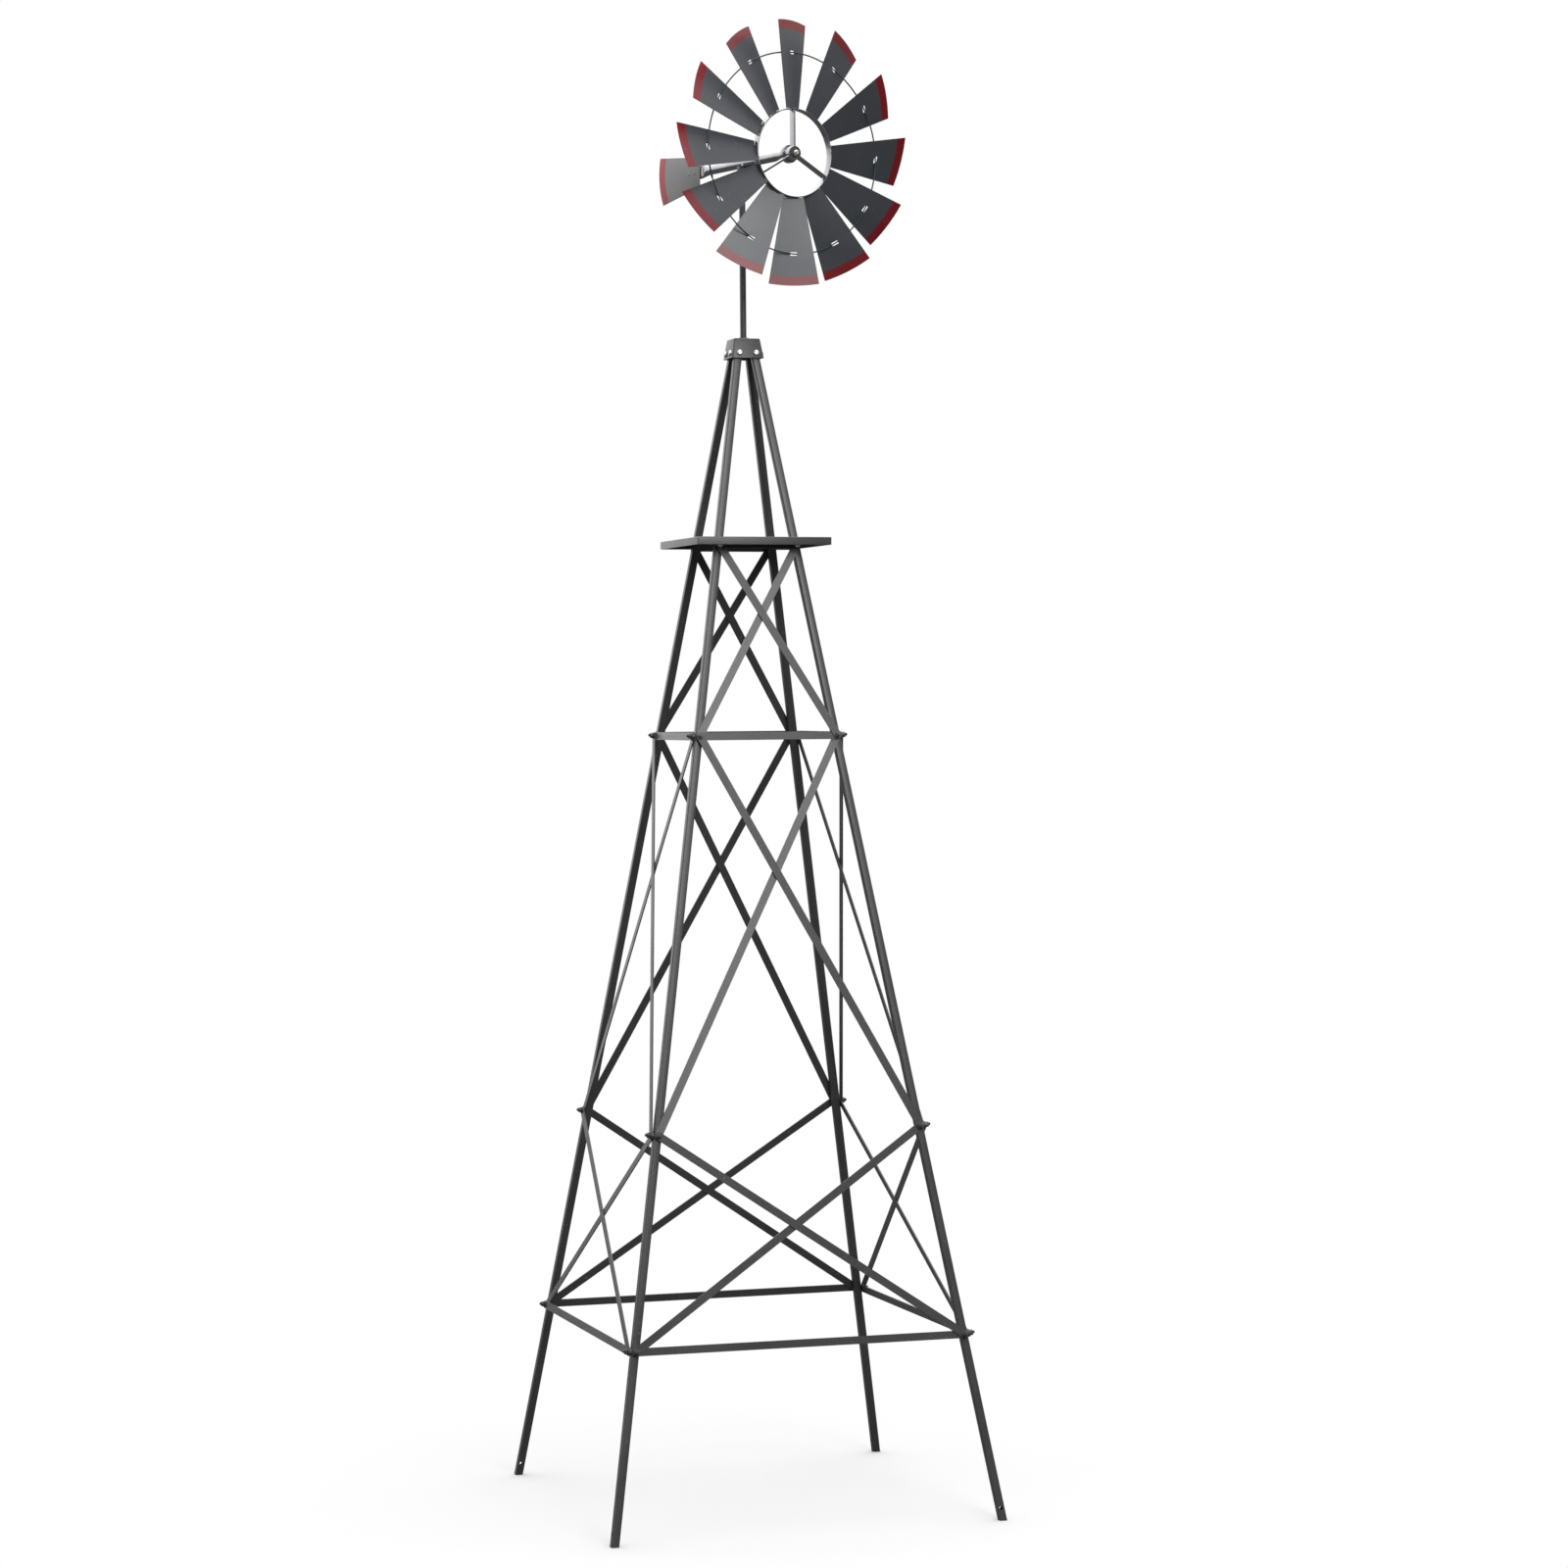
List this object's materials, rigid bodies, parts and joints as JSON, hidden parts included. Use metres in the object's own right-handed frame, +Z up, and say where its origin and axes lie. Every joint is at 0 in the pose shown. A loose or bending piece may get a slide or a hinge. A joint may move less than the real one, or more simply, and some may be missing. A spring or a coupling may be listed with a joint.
{
  "type": "garden windmill",
  "caption": "Ornamental garden windmill: tapered lattice tower of tubes and crossed flat braces with a small deck, and a swivelling head with a free-spinning bladed wheel and a tail vane.",
  "frame": {"origin": "on the ground, under the mast's axis, at the centre of the base", "axes": "+Z up along the mast; -Y is the front face of the tower and +X its right; at rest the wheel faces the front, turned 16.5 degrees towards +X"},
  "size_m": [0.664, 0.664, 2.4438],
  "materials": {
    "powder_coat": "dark grey powder coat, semi-gloss with a fine orange-peel texture",
    "satin_steel": "satin metallic grey steel",
    "blade_paint": "dark blue-grey enamel on sheet steel, with a dark red band across each blade tip",
    "vane_paint": "mid grey enamel on sheet steel, with a dark red band down the rear edge",
    "wire": "dark green-black painted wire",
    "zinc": "bright zinc plating",
    "bronze": "plain sintered bronze"
  },
  "bodies": {
    "tower": {"cap": "powder_coat", "deck": "powder_coat", "deck_bar_back": "powder_coat", "deck_bar_front": "powder_coat", "leg_back_left": "powder_coat", "leg_back_right": "powder_coat", "leg_front_left": "powder_coat", "leg_front_right": "powder_coat", "lower_bar_back": "powder_coat", "lower_bar_front": "powder_coat", "lower_bar_left": "powder_coat", "lower_bar_right": "powder_coat", "lower_brace_back_inner": "powder_coat", "lower_brace_back_outer": "powder_coat", "lower_brace_front_inner": "powder_coat", "lower_brace_front_outer": "powder_coat", "lower_brace_left_inner": "powder_coat", "lower_brace_left_outer": "powder_coat", "lower_brace_right_inner": "powder_coat", "lower_brace_right_outer": "powder_coat", "mast": "powder_coat", "middle_brace_back_inner": "powder_coat", "middle_brace_back_outer": "powder_coat", "middle_brace_front_inner": "powder_coat", "middle_brace_front_outer": "powder_coat", "middle_brace_left_inner": "powder_coat", "middle_brace_left_outer": "powder_coat", "middle_brace_right_inner": "powder_coat", "middle_brace_right_outer": "powder_coat", "upper_bar_back": "powder_coat", "upper_bar_front": "powder_coat", "upper_bar_left": "powder_coat", "upper_bar_right": "powder_coat", "upper_brace_back_inner": "powder_coat", "upper_brace_back_outer": "powder_coat", "upper_brace_front_inner": "powder_coat", "upper_brace_front_outer": "powder_coat"},
    "head": {"axle_bolt": "zinc", "axle_washer": "powder_coat", "bearing_housing": "satin_steel", "boom": "satin_steel", "swivel_tee": "powder_coat", "tail_vane": "vane_paint"},
    "wheel": {"blade_01": "blade_paint", "blade_02": "blade_paint", "blade_03": "blade_paint", "blade_04": "blade_paint", "blade_05": "blade_paint", "blade_06": "blade_paint", "blade_07": "blade_paint", "blade_08": "blade_paint", "blade_09": "blade_paint", "blade_10": "blade_paint", "blade_11": "blade_paint", "blade_12": "blade_paint", "hub_bush": "bronze", "inner_ring": "satin_steel", "wheel_spider": "satin_steel", "wire_hoop": "wire"}
  },
  "joints": [
    {"name": "head_yaw", "type": "hinge", "parent": "tower", "child": "head", "pos_m": [0, 0, 2.2276], "axis": [0, 0, 1], "continuous": true},
    {"name": "wheel_spin", "type": "hinge", "parent": "head", "child": "wheel", "pos_m": [0.04334, -0.14632, 2.2276], "axis": [0.284, -0.9588, 0], "continuous": true}
  ]
}
